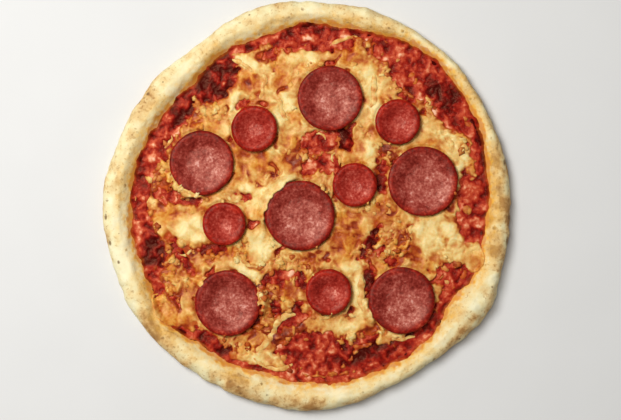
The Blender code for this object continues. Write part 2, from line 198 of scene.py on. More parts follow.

# Where the rim is toasted most, and where toast on the right outer flank, which faces away from the
# lamp, is partly painted shade: x, y, half length, half width, turn, strength
TOASTED_AND_SHADED_RIM = (
    (-108, 84, 10, 18, -38, 0.45), (-106, -72, 10, 18, 34, 0.8), (-112, -88, 5, 14, 30, 0.7),
    (-52, -130, 26, 7, -22, 0.75), (46, 132, 30, 6, -18, 0.4), (20, 138, 26, 5, 0, 0.15),
    (141, 20, 7, 40, 0, 0.9), (139, -20, 8, 26, 8, 0.9), (122, 84, 6, 34, 40, 0.5),
    (0, -144, 50, 6, 0, 0.65), (-146, -12, 4, 20, 0, 0.4), (-134, 14, 5, 12, 0, 0.5),
    (150, 10, 5, 70, 0, 0.9), (112, -98, 34, 5, 50, 0.8), (62, -135, 30, 5, 24, 0.6),
    (-78, -126, 34, 5, -34, 0.5), (132, 74, 34, 5, 120, 0.6), (-40, 139, 14, 5, 20, 0.3),
)

# Where the rim is painted paler, mostly on its inner slopes at the left and top, which face away from
# the lamp: painted light that lifts their shade. x, y, half length, half width, turn, strength
PAINTED_LIGHT_ON_RIM = (
    (-131, -4, 5, 52, 0, 1.0), (-97, 86, 6, 34, -42, 1.0), (-20, 137, 36, 5, 8, 0.6),
    (36, -133, 60, 5, 14, 0.5),
)

# Soft folds pressed into the rim: x, y, half length, half width, turn, depth
RIM_FOLDS = (
    (-108, -86, 12, 4.0, -66, 1.0), (-88, -106, 9, 4.0, 74, 0.5), (-62, -130, 9, 4.0, 40, 0.5),
    (128, -64, 9, 4.0, 40, 0.6), (98, 106, 8, 4.0, -50, 0.4),
)

# Scorch marks on the rim: x, y, half length, half width, turn, strength
SCORCH_MARKS = (
    (-85, 117, 1.8, 1.0, 40, 1.0), (-87, 113, 1.0, 0.8, 0, 0.6), (-115, 82, 1.3, 1.1, 30, 1.0),
    (-122, 76, 1.6, 0.8, 50, 0.9), (-118, 79, 0.8, 0.7, 0, 0.6), (-132, 15, 1.4, 1.0, 80, 0.8),
    (-145, 4, 1.2, 1.0, 0, 0.7), (-146, -8, 1.0, 2.2, 0, 0.9), (-143, -27, 1.0, 1.8, 10, 1.0),
    (-131, -32, 0.9, 0.9, 0, 0.7), (-136, -20, 0.8, 0.7, 0, 0.5), (-139, 24, 0.8, 0.8, 0, 0.5),
    (-128, 42, 0.9, 0.7, 0, 0.5), (-55, -128, 1.6, 1.2, 20, 0.7), (-49, -132, 1.2, 1.0, 0, 0.7),
    (-67, -124, 1.0, 0.8, 0, 0.6), (-96, -103, 1.0, 0.8, 0, 0.6), (-28, -138, 1.0, 0.9, 0, 0.6),
    (6, -141, 1.1, 0.8, 0, 0.6), (42, -136, 1.0, 0.9, 0, 0.6), (88, -117, 1.2, 0.8, 40, 0.6),
    (116, -92, 0.9, 0.9, 0, 0.6), (138, -16, 1.3, 1.5, 0, 1.0), (148, -26, 1.4, 3.4, 0, 1.0),
    (146, 32, 1.3, 2.2, 0, 0.9), (149, -8, 1.0, 2.4, 0, 0.8), (141, 8, 0.9, 0.8, 0, 0.5),
    (140, 42, 1.0, 0.9, 0, 0.6), (122, 82, 1.0, 0.8, 0, 0.5), (32, 134, 1.4, 1.0, 0, 0.7),
    (48, 131, 1.2, 1.0, 10, 0.7), (61, 130, 1.5, 0.9, -20, 0.8), (74, 127, 1.1, 0.9, 0, 0.6),
    (-12, 138, 1.0, 0.8, 0, 0.5), (-48, 134, 1.0, 0.8, 0, 0.5),
)

# Crumbs of cheese and sausage: x, y, half length, half width of the patch, turn, how many
CRUMB_PATCHES = (
    (-108, 24, 24, 9, 75, 55), (-88, 9, 18, 7, -20, 40), (-95, -36, 18, 9, 20, 45),
    (-60, -36, 20, 6, 0, 28), (-36, -34, 17, 13, 0, 60), (-100, -60, 15, 13, 60, 40),
    (-30, -74, 18, 10, 60, 60), (-8, -46, 18, 9, 0, 40), (-46, -104, 17, 6, -20, 34),
    (-8, -104, 16, 9, 30, 34), (40, -99, 17, 9, 10, 60), (28, -78, 9, 14, 0, 22),
    (62, -26, 22, 14, 30, 70), (106, -30, 12, 18, 0, 40), (112, -54, 11, 8, 20, 22),
    (115, 54, 16, 9, 110, 48), (96, 68, 15, 8, 130, 36), (66, 96, 22, 11, 140, 60),
    (76, 114, 14, 6, 160, 14), (58, 36, 8, 11, 0, 20), (4, 38, 11, 13, 0, 34),
    (-28, 112, 18, 6, 20, 20), (-70, 66, 16, 7, 20, 30), (17, 9, 5, 12, 20, 16), (50, 0, 14, 7, 0, 18),
    (-28, 20, 15, 5, 20, 20), (0, 120, 30, 7, 0, 22), (122, 0, 7, 24, 0, 16),
    (-112, -20, 5, 20, 10, 14), (-86, 80, 18, 5, 50, 12), (0, 0, 112, 112, 0, 260),
)
# Shares of the crumbs that are kept, kept where the sauce is bare, and of sausage, and how far a crumb's
# middle lies below the surface, as a share of half its height
CRUMBS_KEPT = 0.6
CRUMBS_KEPT_ON_SAUCE = 0.15
SAUSAGE_CRUMBS = 0.25
CRUMB_SUNK = 0.55
# The cheese is lumpier where there are crumbs, apart from those of the last row, which lie all over it
CRUMBLY_CHEESE = tuple((*patch[:5], 1.0) for patch in CRUMB_PATCHES[:-1])

# Shreds of cheese that kept their shape: x, y, length, width before they melted, direction, bend in degrees
CHEESE_STRANDS = (
    (-53, 5, 18, 1.5, -22, 40), (-42, -42, 20, 1.8, 152, -30), (-28, -98, 26, 3.4, 52, 30),
    (-17, -84, 24, 3.0, 40, -40), (-24, -117, 32, 2.6, -14, 42), (28, 122, 22, 2.2, 18, -20),
    (-88, -35, 12, 1.4, 20, 60), (-31, 88, 20, 2.6, 78, 20), (-17, 70, 18, 2.8, 110, -25),
    (-46, 104, 18, 2.4, 150, 20), (50, 84, 26, 3.2, 86, 14), (41, -64, 26, 3.4, 94, -16),
    (72, -97, 18, 2.2, 4, 20), (15, -81, 12, 1.8, 20, 50), (106, 46, 14, 2.6, 120, 30),
    (-100, 47, 12, 1.4, 60, 30), (90, 76, 10, 1.8, 100, 40), (12, 52, 10, 1.3, 150, 60),
    (20, 36, 9, 1.2, 80, -60),
)
# How many times as wide they are now
STRAND_SPREAD = 1.5


# Numbers


def smooth(share):
    """0 to 1 with a level start and end."""
    share = np.clip(share, 0.0, 1.0)
    return share * share * (3 - 2 * share)


def hashed(cells, seed):
    """A repeatable number from 0 to 1 for each whole-number cell."""
    total = np.full(len(cells), (seed * 2654435761 + 97) % 2**32, np.uint32)
    for axis, prime in zip(range(cells.shape[1]), (374761393, 668265263, 2246822519)):
        total ^= cells[:, axis].astype(np.int64).astype(np.uint32) * np.uint32(prime)
        total = (total << np.uint32(13) | total >> np.uint32(19)) * np.uint32(1274126177)
    total ^= total >> np.uint32(15)
    total *= np.uint32(2246822519)
    total ^= total >> np.uint32(13)
    return total / 2**32


def rolling(points, width, seed):
    """Smooth unevenness about that width in mm, mostly within -1 to 1, at points of two or three numbers."""
    scaled = points / width
    base = np.floor(scaled)
    part = scaled - base
    fade = part**3 * (part * (part * 6 - 15) + 10)
    total = np.zeros(len(points))
    for corner in itertools.product((0, 1), repeat=points.shape[1]):
        cell = base + corner
        away = part - corner
        weight = np.prod(np.where(corner, fade, 1 - fade), axis=1)
        for axis in range(points.shape[1]):
            total += weight * (hashed(cell, seed + 31 * axis) * 2 - 1) * away[:, axis]
    return total * 2.4


def curds(points, width, seed):
    """Distance from each point to the nearest of scattered middles about that width apart, as a share of
    it, and that middle's own random number."""
    scaled = points / width
    base = np.floor(scaled)
    nearest = np.full(len(points), 9.0)
    own = np.zeros(len(points))
    for step in itertools.product((-1, 0, 1), repeat=2):
        cell = base + step
        middle = cell + np.stack([hashed(cell, seed), hashed(cell, seed + 5)], axis=1)
        away = np.hypot(*(scaled - middle).T)
        closer = away < nearest
        nearest[closer] = away[closer]
        own[closer] = hashed(cell[closer], seed + 11)
    return nearest, own


def turned(x, y, angle):
    """Places turned about the origin, by an angle in radians."""
    return x * np.cos(angle) - y * np.sin(angle), x * np.sin(angle) + y * np.cos(angle)


def off_middle(points, x, y, half_length, half_width, turn):
    """Distance from the middle of a turned ellipse, which is 1 on its edge."""
    along, across = turned(points[:, 0] - x, points[:, 1] - y, -math.radians(turn))
    return np.hypot(along / half_length, across / half_width)


def areas(points, table):
    """0 to 1: how strongly a table's soft-edged ellipses cover each point."""
    total = np.zeros(len(points))
    for *ellipse, strength in table:
        total = np.maximum(total, strength * smooth(1.5 - off_middle(points, *ellipse)))
    return total


# The dough's form


def rim_wave(layer):
    """The same smooth random waviness round the rim as in the solids, as a function of direction."""
    directions = np.arange(0, 360, 0.5)
    spread = RIM_UNEVENNESS_SPREAD
    values = []
    for direction in np.radians(directions):
        place = Vector((spread * math.cos(direction), spread * math.sin(direction), layer))
        values.append(noise.noise(place))
    return lambda direction: np.interp(direction, directions, values, period=360)


outline_wave = rim_wave(1)
sauce_wave = rim_wave(5)
crest_wave = rim_wave(9)


def swollen(direction, mean, swells):
    """A mean radius with rounded swells and flats at given directions."""
    radius = mean + np.zeros_like(direction)
    for middle, amount, spread in swells:
        away = (direction - middle + 180) % 360 - 180
        radius += amount * np.exp(-((away / spread) ** 2))
    return radius


def outer_edge(direction):
    """Radius of the dough's outline."""
    return swollen(direction, OUTLINE_RADIUS, OUTLINE_SWELLS) + RIM_UNEVENNESS * outline_wave(direction)


def sauce_edge(direction):
    """Radius of the sauce's edge on the rim, as in the solids."""
    return swollen(direction, SAUCE_RADIUS, SAUCE_SWELLS) + 2 * RIM_UNEVENNESS * sauce_wave(direction)


def crest(direction):
    """Radius and height of the top of the rim."""
    width = outer_edge(direction) - sauce_edge(direction)
    height = RIM_LEAST_HEIGHT + RIM_HEIGHT_PER_WIDTH * width + RIM_UNEVENNESS * crest_wave(direction)
    return outer_edge(direction) - CREST_SHARE * width, height


def dough_height(radius, direction):
    """Height of the dough's upper face, from its flat middle up to the crest."""
    foot = sauce_edge(direction) - RIM_FOOT_WIDTH
    crest_radius, crest_height = crest(direction)
    climb = smooth(INNER_STEEPNESS * (radius - foot) / (crest_radius - foot))
    return BASE_TOP + (crest_height - BASE_TOP) * climb


def offset_to_frame():
    """How far the dough's centre lies from the middle of its outline, the origin of the frame."""
    direction = np.arange(OUTLINE_DIRECTIONS) * 360 / OUTLINE_DIRECTIONS
    reach = outer_edge(direction)
    x = reach * np.cos(np.radians(direction))
    y = reach * np.sin(np.radians(direction))
    return np.array((-(x.min() + x.max()) / 2, -(y.min() + y.max()) / 2, 0.0))


TO_FRAME = offset_to_frame()


def polar(points):
    """Distance and direction in degrees from the dough's centre, or from one that was taken off first."""
    return np.hypot(points[:, 0], points[:, 1]), np.degrees(np.arctan2(points[:, 1], points[:, 0]))


# Where the cheese lies


def patch_depth(points):
    """How far each point lies inside the nearest bare patch of sauce, negative outside all of them."""
    depth = np.full(len(points), -1000.0)
    for patch in BARE_SAUCE + SMALL_GAPS:
        half_width = patch[3]
        depth = np.maximum(depth, (1 - off_middle(points, *patch)) * half_width)
    return depth


def nearest_slice(points):
    """Distance to the edge of the nearest slice, negative under it."""
    return np.min([polar(points - (x, y))[0] - radius for x, y, radius, _ in ALL_SLICES], axis=0)


def solid_noise(points, width, layer):
    """The noise that the solids use, at the same places."""
    return np.array([noise.noise(Vector((x / width, y / width, layer))) for x, y in points])


def cheese_margin(points):
    """Distance inside the cheese's ragged edge, negative where the sauce is bare."""
    radius, direction = polar(points)
    wobble = solid_noise(points, CHEESE_WOBBLE_WIDTH, 3.0)
    # Back from the rim and the bare patches, with an uneven edge
    rim = sauce_edge(direction) - CHEESE_SETBACK - radius
    rim += SPILL_REACH * areas(points, CHEESE_SPILLS)
    drawn = CHEESE_EDGE_WOBBLE * wobble + 2.0 * rolling(points, 5.2, 21) + 1.2 * rolling(points, 2.6, 22)
    ragged = np.minimum(rim + 1.6 * rolling(points, 5.0, 23), -patch_depth(points) + drawn)
    # Holes, most of them 2 to 7 mm wide, where it ran thin, none in its pale and golden parts
    holes = rolling(points + 2.2 * drift(points, 9, 81), 9, 93)
    covered = np.maximum(areas(points, PALE_CHEESE), areas(points, GOLDEN_CHEESE))
    ragged = np.minimum(ragged, 11 * (0.8 - np.minimum(holes, 1.1)) + 12 * covered)
    return np.maximum(ragged, -SLICE_BED_INSET - nearest_slice(points))


# Meshes


def finish_mesh(name, points, faces, look, attributes=()):
    """A named piece from points in mm. It rides on the one body of the frame."""
    mesh = bpy.data.meshes.new(name)
    mesh.from_pydata(((points + TO_FRAME) * MM).tolist(), [], faces)
    mesh.shade_smooth()
    for label, values in attributes:
        stored = mesh.attributes.new(label, "FLOAT", "POINT")
        stored.data.foreach_set("value", np.ascontiguousarray(values, np.float32))
    mesh.materials.append(look)
    piece = bpy.data.objects.new(name, mesh)
    bpy.context.scene.collection.objects.link(piece)
    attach(piece, "root")
    return piece


def lattice(step, reach):
    """Points of an even triangular lattice over a square, and the triangles that join them."""
    row_step = step * math.sqrt(3) / 2
    rows, columns = int(reach / row_step) + 1, int(reach / step) + 1
    row, column = np.mgrid[-rows : rows + 1, -columns : columns + 1]
    shifted = row % 2 == 1
    points = np.stack([(column + 0.5 * shifted) * step, row * row_step], axis=-1).reshape(-1, 2)
    index = np.arange(len(points)).reshape(row.shape)
    low, low_right = index[:-1, :-1], index[:-1, 1:]
    high, high_right = index[1:, :-1], index[1:, 1:]
    odd = shifted[:-1, :-1, None]
    first = np.where(odd, np.stack([low, low_right, high_right], -1), np.stack([low, low_right, high], -1))
    second = np.where(odd, np.stack([low, high_right, high], -1), np.stack([low_right, high_right, high], -1))
    return points, np.concatenate([first.reshape(-1, 3), second.reshape(-1, 3)])


def boundary(triangles):
    """Directed edges that only one triangle has."""
    edges = np.concatenate([triangles[:, (0, 1)], triangles[:, (1, 2)], triangles[:, (2, 0)]])
    size = int(triangles.max()) + 1
    forward = edges[:, 0] * size + edges[:, 1]
    backward = edges[:, 1] * size + edges[:, 0]
    return edges[~np.isin(forward, backward)]


def without_pinches(triangles):
    """Drops triangles at points where two parts of the sheet meet at one corner only."""
    while True:
        corners, counts = np.unique(boundary(triangles)[:, 0], return_counts=True)
        pinched = corners[counts > 1]
        if not len(pinched):
            return triangles
        triangles = triangles[~np.isin(triangles, pinched).any(axis=1)]


def without_scraps(triangles, fewest):
    """Drops loose parts of the sheet that have too few triangles."""
    label = np.arange(int(triangles.max()) + 1)
    while True:
        least = label[triangles].min(axis=1)
        new = label.copy()
        for corner in range(3):
            np.minimum.at(new, triangles[:, corner], least)
        new = new[new]
        if (new == label).all():
            break
        label = new
    part = label[triangles[:, 0]]
    names, counts = np.unique(part, return_counts=True)
    return triangles[np.isin(part, names[counts >= fewest])]


def clipped(points, triangles, margin, step, fewest):
    """The part of a lattice with a positive margin, its outer corners moved on to the edge."""
    # A corner nearer to the edge than this counts as outside, so that no triangle becomes a sliver
    inside = margin > 0.2 * step
    kept = without_scraps(without_pinches(triangles[inside[triangles].any(axis=1)]), fewest)
    total = np.zeros_like(points)
    count = np.zeros(len(points))
    for i, j in itertools.permutations(range(3), 2):
        pair = inside[kept[:, i]] & ~inside[kept[:, j]]
        within, beyond = kept[pair, i], kept[pair, j]
        share = margin[within] / np.maximum(margin[within] - margin[beyond], 1e-6)
        share = np.where(margin[beyond] >= 0, 1.0, np.clip(share, 0, 1))
        np.add.at(total, beyond, points[within] + (points[beyond] - points[within]) * share[:, None])
        np.add.at(count, beyond, 1)
    points = points.copy()
    moved = count > 0
    points[moved] = total[moved] / count[moved][:, None]
    used, kept = np.unique(kept, return_inverse=True)
    return points[used], kept.reshape(-1, 3)


def edge_loops(triangles):
    """The sheet's edges as closed loops of point numbers."""
    following = dict(boundary(triangles).tolist())
    loops = []
    while following:
        start, at = following.popitem()
        loop = [start]
        while at != start:
            loop.append(at)
            at = following.pop(at)
        loops.append(loop)
    return loops


def closed_sheet(points, height, triangles, rings):
    """A sheet closed below. rings gives, for an array of edge points, the lower rings as arrays of points
    with heights, the last of which is filled in flat."""
    loops = edge_loops(triangles)
    solid = [np.column_stack([points, height])]
    faces = triangles.tolist()
    total = len(points)
    floor = []
    for loop in loops:
        above = loop
        for ring in rings(points[loop]):
            below = list(range(total, total + len(loop)))
            total += len(loop)
            solid.append(ring)
            for i in range(len(loop)):
                j = (i + 1) % len(loop)
                faces.append((above[i], below[i], below[j], above[j]))
            above = below
        floor.append(above)
    solid = np.concatenate(solid)
    numbers = [i for loop in floor for i in loop]
    outlines = [[Vector((solid[i][0], solid[i][1], 0)) for i in loop] for loop in floor]
    for corners in geometry.tessellate_polygon(outlines):
        a, b, c = (numbers[i] for i in corners)
        ab, ac = solid[b] - solid[a], solid[c] - solid[a]
        faces.append((a, b, c) if ab[0] * ac[1] - ab[1] * ac[0] < 0 else (a, c, b))
    return solid, faces


# How the layers lie. Each pattern has its own width in mm and its own seed. The number before it is its
# strength: mm for a height, and a share for a tone.


def drift(points, width, seed):
    """An uneven shift of each point, for patterns that look drawn and folded."""
    return np.stack([rolling(points, width, seed), rolling(points, width, seed + 1)], axis=1)


def ragged_sauce_edge(points, direction):
    """Radius of the sauce's edge with the unevenness that a spoon leaves."""
    uneven = 1.3 * rolling(points, 14, 31) + 0.7 * rolling(points, 5.5, 32) + 0.3 * rolling(points, 2.4, 30)
    return sauce_edge(direction) + uneven


def sauce_form(points):
    """The sauce's height, its tone from 0, baked almost black, to 1, thick and bright, with painted highlight
    on the tops of its lumps and painted shade beside some slices, and the fat at its edge."""
    radius, direction = polar(points)
    within = ragged_sauce_edge(points, direction) - radius
    shifted = points + 1.6 * drift(points, 6, 33)
    # Lumps of pulp of several sizes, on a layer that thins out to nothing at its edge
    pulp, own = curds(shifted, 5.2, 35)
    lumps = 0.6 * rolling(shifted, 8.0, 37) + 0.4 * rolling(shifted, 4.2, 42)
    lumps += 0.18 * rolling(points, 2.1, 38)
    lumps += 0.22 * smooth(1.1 - pulp * 1.5) * own - 0.07
    dough = dough_height(radius, direction)
    level = np.maximum(SAUCE_TOP - 0.1, dough + 0.45)
    body = level + 0.95 * lumps * (0.35 + 0.65 * smooth(within / 8))
    body += THICK_SAUCE_RISE * areas(points, THICK_SAUCE)
    taper = smooth(within / 2.2)
    height = (dough - 0.12) * (1 - taper) + np.maximum(body, dough + 0.2) * taper
    # Tone follows the lumps: paler on their tops, partly as painted highlight
    tone = 0.52 + 0.48 * lumps + 0.18 * rolling(points, 9, 39)
    # Darker where the sauce baked dark and, in the gaps beside some slices, as painted shade
    tone -= 0.46 * areas(points, DARK_AND_SHADED_SAUCE) + 0.1 * (1 - smooth(within / 5))
    fat = smooth(1 - within / 3.0) * (0.6 + 0.5 * rolling(points, 8, 41))
    return height, tone, fat


def on_circle(radius, way, height):
    """Points round a circle, where noise gives a waviness that joins up with itself."""
    return np.stack([radius * np.cos(way), radius * np.sin(way), np.full(len(way), height)], axis=1)


def slice_height(number, points):
    """Height of a slice's upper face over any point near it. Heat has dished it: its edge stands up as a
    soft ring that falls off a little on the outside, higher on some sides than on others."""
    x, y, radius, curl = ALL_SLICES[number]
    away, way = polar(points - (x, y))
    share = away / radius
    spot = on_circle(1.3, np.radians(way), 7.0 * number)
    wave = rolling(spot, 1.0, 51)
    ring_width = 3.0 / radius
    slope_width = 10.5 / radius
    climb = smooth((share - 1 + ring_width + slope_width) / slope_width)
    rise = climb - 0.4 * smooth((share - 1 + ring_width * 0.8) / ring_width)
    return SLICE_SEAT + SLICE_THICKNESS + (2.9 * curl + 0.6 * wave) * rise


def lip_cover(points):
    """How strongly, 0 to 1, a lip of cheese covers each point, and the height that the lip has there."""
    cover = np.zeros(len(points))
    top = np.zeros(len(points))
    for number, middle, spread, reach, rise in CHEESE_LIPS:
        x, y, radius, _ = ALL_SLICES[number]
        reached, way = polar(points - (x, y))
        away = reached - radius
        off = np.abs((way - middle + 180) % 360 - 180) / spread
        ragged = 0.9 * rolling(points, 5.5, 61 + number) + 0.5 * rolling(points, 2.6, 71)
        inner = np.maximum(away + reach * (1 - off**2) + ragged, 0.8 * away)
        own = smooth(inner / 1.3 + 0.3) * smooth((6.5 - away) / 5) * smooth((1.3 - off) / 0.5)
        higher = own > cover
        cover[higher] = own[higher]
        top[higher] = (slice_height(number, points) + rise)[higher]
    return cover, top


def ridged(points, seed):
    """Strands that run mostly up and down: 0.65 along the middle of long thin ridges, -0.35 between them."""
    along, across = turned(points[:, 0], points[:, 1], -math.radians(68))
    drawn = np.stack([along / 3.2, across], axis=1)
    return smooth(1 - 3.2 * np.abs(rolling(drawn, 5.5, seed))) - 0.35


def cheese_form(points, margin):
    """The cheese's height, its level from 0, thin and red with sauce, to 1, thick and cream, its warmth
    from 0, pale, to 1, toasted gold, and the fat in its hollows."""
    radius, direction = polar(points)
    apart = nearest_slice(points)
    pull = drift(points, 9, 81)
    shifted = points + 2.2 * pull
    broad = rolling(points, 18, 86)
    middle = rolling(shifted, 8.5, 87)
    small = rolling(shifted, 4.4, 88)
    tiny = rolling(shifted, 2.3, 89)
    strand = ridged(shifted, 85)
    pale, golden, ruddy = (areas(points + 1.5 * pull, t) for t in (PALE_CHEESE, GOLDEN_CHEESE, RUDDY_AND_SHADED_CHEESE))
    # Ruddy where the sauce shows through, and beside some slices as painted shade, crumbly where the shreds
    # kept their shape
    spilt = np.clip(2.5 * areas(points, CHEESE_SPILLS), 0, 1)
    ruddy = smooth((ruddy + 0.45 * rolling(shifted, 5.5, 97) - 0.3) / 0.5)
    sunk = smooth((rolling(shifted, 9, 93) - 0.45) / 0.4) * (1 - 0.7 * golden)
    ruddy = np.maximum(ruddy, sunk) * (1 - 0.8 * pale)
    ruddy = ruddy * (1 - spilt)
    crumbly = smooth(0.2 + 0.9 * rolling(points, 16, 94) + 0.7 * areas(points, CRUMBLY_CHEESE) - 0.6 * pale)
    relief = 0.55 * middle + (0.1 + 0.5 * crumbly) * small + (0.02 + 0.34 * crumbly) * tiny
    relief = 1.15 * relief * (1 - 0.5 * pale) + 0.18 * strand + 0.3 * pale - 0.45 * ruddy

    # Rounded at its edge, banked up beside slices, level below them, and over the edges of some
    rounding = np.sqrt(np.clip(1 - (1 - np.clip(margin / 5.0, 0, 1)) ** 2, 0, 1))
    coarse = solid_noise(points, CHEESE_LUMP_WIDTH, 7.0)
    full = CHEESE_THICKNESS + CHEESE_LUMP_HEIGHT * coarse * 0.7 + relief * (0.3 + 0.7 * smooth(margin / 5))
    bed = np.maximum(CHEESE_BOTTOM - 0.35, dough_height(radius, direction) + 0.1)
    height = bed + np.maximum(full, 0.45) * rounding
    banked = smooth(apart / 1.8) * smooth((7 - apart) / 5) * (0.55 + 0.6 * rolling(points, 13, 95))
    height += 0.8 * banked * smooth(margin / 3)
    free = smooth((apart + 0.4) / 2.0)
    height = np.minimum(height, SLICE_BED - 0.1) * (1 - free) + height * free
    cover, top = lip_cover(points)
    height = height * (1 - cover) + np.maximum(height, top + 0.25 * small) * cover

    # Thin edges and ruddy places are low on the colour ramp, fat lies in the hollows
    thin = 1 - smooth(margin / np.maximum(2.6 + 1.6 * rolling(points, 6, 96), 0.6))
    level = 0.57 + 0.22 * middle + 0.12 * small + (0.04 + 0.12 * crumbly) * tiny
    level += 0.12 * broad + 0.06 * strand
    level += 0.34 * pale - 0.12 * golden - 0.6 * ruddy - 0.26 * thin * (1 - spilt) + 0.15 * spilt
    level = level * (1 - cover) + np.maximum(level, 0.78 + 0.2 * small) * cover
    warmth = 0.45 + 0.5 * rolling(shifted, 12, 90) + 0.25 * rolling(shifted, 5, 91)
    warmth += 0.5 * golden - 0.6 * pale
    fat = 0.1 - 0.45 * relief + 0.35 * rolling(points, 9, 92) + 0.25 * ruddy + 0.75 * thin * (1 - spilt)
    return height, level, warmth, fat


def topping_height(points):
    """Height of whatever lies on top at each point."""
    margin = cheese_margin(points)
    height = np.where(margin > 0.5, cheese_form(points, margin)[0], sauce_form(points)[0])
    for number, (x, y, radius, _) in enumerate(ALL_SLICES):
        on_slice = polar(points - (x, y))[0] < radius
        height[on_slice] = np.maximum(height[on_slice], slice_height(number, points[on_slice]))
    return height


# The pieces


def ringed(rings, sides):
    """Faces of a solid whose points are rings with equally many sides, then a point to close each end."""
    faces = []
    for i in range(rings - 1):
        for j in range(sides):
            k = (j + 1) % sides
            faces.append((i * sides + j, (i + 1) * sides + j, (i + 1) * sides + k, i * sides + k))
    last, first_end = (rings - 1) * sides, rings * sides
    for j in range(sides):
        k = (j + 1) % sides
        faces.append((first_end, j, k))
        faces.append((first_end + 1, last + k, last + j))
    return faces


def padded(values, count):
    """The values with zeros added, for the unseen points below a sheet."""
    return np.concatenate([values, np.zeros(count - len(values))])


def dough_section(direction):
    """Radius and height of the dough's surface in each direction, from near its middle, over the rim and
    back underneath."""
    outer = outer_edge(direction)
    crest_radius, crest_height = crest(direction)
    foot = sauce_edge(direction) - RIM_FOOT_WIDTH
    level = np.ones_like(direction)
    section = [(share * foot, BASE_TOP * level) for share in (0.3, 0.6, 0.85)]
    for share in np.linspace(0, 1, 34):
        radius = foot + (crest_radius - foot) * share
        section.append((radius, dough_height(radius, direction)))
    for lean in np.radians(np.linspace(3, 90, 26)):
        radius = crest_radius + (outer - crest_radius) * math.sin(lean)
        section.append((radius, RIM_WIDEST_HEIGHT + (crest_height - RIM_WIDEST_HEIGHT) * math.cos(lean)))
    for lean in np.radians(np.linspace(8, 90, 12)):
        radius = outer - RIM_BOTTOM_ROUNDING * (1 - math.cos(lean))
        section.append((radius, RIM_WIDEST_HEIGHT * (1 - math.sin(lean)) * level))
    section += [(share * (outer - RIM_BOTTOM_ROUNDING), 0 * level) for share in (0.9, 0.6, 0.3)]
    return np.array(section).transpose(1, 0, 2)


def make_crust(look):
    """The baked dough: puffed, uneven rim, level middle and flat underside."""
    direction = np.arange(CRUST_TURNS) * 360 / CRUST_TURNS
    cosine, sine = np.cos(np.radians(direction)), np.sin(np.radians(direction))
    radius, height = dough_section(direction)

    # Relief along the surface's own normal, none where the sauce lies on the dough or on the flat underside
    normal_out = np.gradient(height, axis=0) * -1
    normal_up = np.gradient(radius, axis=0)
    length = np.hypot(normal_out, normal_up) + 1e-9
    even = np.stack([radius * cosine, radius * sine, height], axis=-1).reshape(-1, 3)
    bumps = 0.5 * rolling(even, 30, 1) + 0.65 * rolling(even, 14, 2) + 0.32 * rolling(even, 6, 3)
    bumps -= RIM_FOLD_DEPTH * areas(even[:, :2], RIM_FOLDS)
    bumps += 0.1 * rolling(even, 2.4, 4)
    blister, own = curds(even[:, :2], BLISTER_SPACING, 5)
    bumps += BLISTER_HEIGHT * smooth(1 - blister / 0.42) * (own > 0.62)
    clear_of_sauce = smooth((radius - sauce_edge(direction)) / 5.0)
    off_floor = smooth(height / 3.0)
    relief = bumps.reshape(radius.shape) * clear_of_sauce * off_floor
    radius = radius + relief * normal_out / length
    height = np.maximum(0.0, height + relief * normal_up / length)
    points = np.stack([radius * cosine, radius * sine, height], axis=-1).reshape(-1, 3)
    points = np.concatenate([points, [[0, 0, BASE_TOP], [0, 0, 0]]])

    # Stained by fat for about 6 mm beyond the sauce, faintly for 14 mm, toasted in patches, scorched in
    # spots;
    # the toast is also painted darker as shade on the right outer flank and lighter as painted light on inner
    # slopes
    reach, way = polar(points)
    beyond = reach - sauce_edge(way)
    drip = rolling(points, 9, 8) + 0.6 * rolling(points, 3.5, 9)
    stain = smooth(0.85 - (beyond - 1.2 - 1.6 * drip) / 4.6)
    stain = np.maximum(stain, 0.42 * smooth(1.3 - beyond / 11) * (1 + 0.6 * rolling(points, 8, 13)))
    toast_and_painted_light = 0.3 + 0.26 * rolling(points, 24, 6) + 0.24 * rolling(points, 9, 7)
    toast_and_painted_light += (0.5 + 0.3 * rolling(points, 6, 12)) * areas(points[:, :2], TOASTED_AND_SHADED_RIM)
    # Less toast where painted light lifts the shade of the inner slopes
    toast_and_painted_light -= 0.24 * areas(points[:, :2], PAINTED_LIGHT_ON_RIM)
    scorch = areas(points[:, :2], SCORCH_MARKS) * (points[:, 2] > BASE_TOP)
    looks = (("stain", stain), ("toast_and_painted_light", toast_and_painted_light), ("scorch", scorch))
    piece = finish_mesh("baked_crust", points, ringed(len(radius), CRUST_TURNS), look, looks)
    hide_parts("crust")


def make_sauce(look):
    """Cooked tomato sauce, pulpy where it is bare and thin where it climbs the rim."""
    points, triangles = lattice(SAUCE_MESH_STEP, SAUCE_MESH_REACH)
    radius, direction = polar(points)
    margin = ragged_sauce_edge(points, direction) - radius
    points, triangles = clipped(points, triangles, margin, SAUCE_MESH_STEP, SAUCE_SMALLEST_PART)
    height, tone, fat = sauce_form(points)

    def rings(loop):
        """Follows the dough inwards and down to its level middle."""
        reach, way = polar(loop)
        for inset in (0.15, 2.5, RIM_FOOT_WIDTH + 3.5):
            inner = reach - inset
            placed = loop * (inner / reach)[:, None]
            yield np.column_stack([placed, dough_height(inner, way) + 0.02 - 0.15 * (inset < 1)])

    solid, faces = closed_sheet(points, height, triangles, rings)
    count = len(solid)
    looks = (("tone", padded(tone, count)), ("fat", padded(fat, count)))
    piece = finish_mesh("sauce_layer", solid, faces, look, looks)
    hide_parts("tomato_sauce")


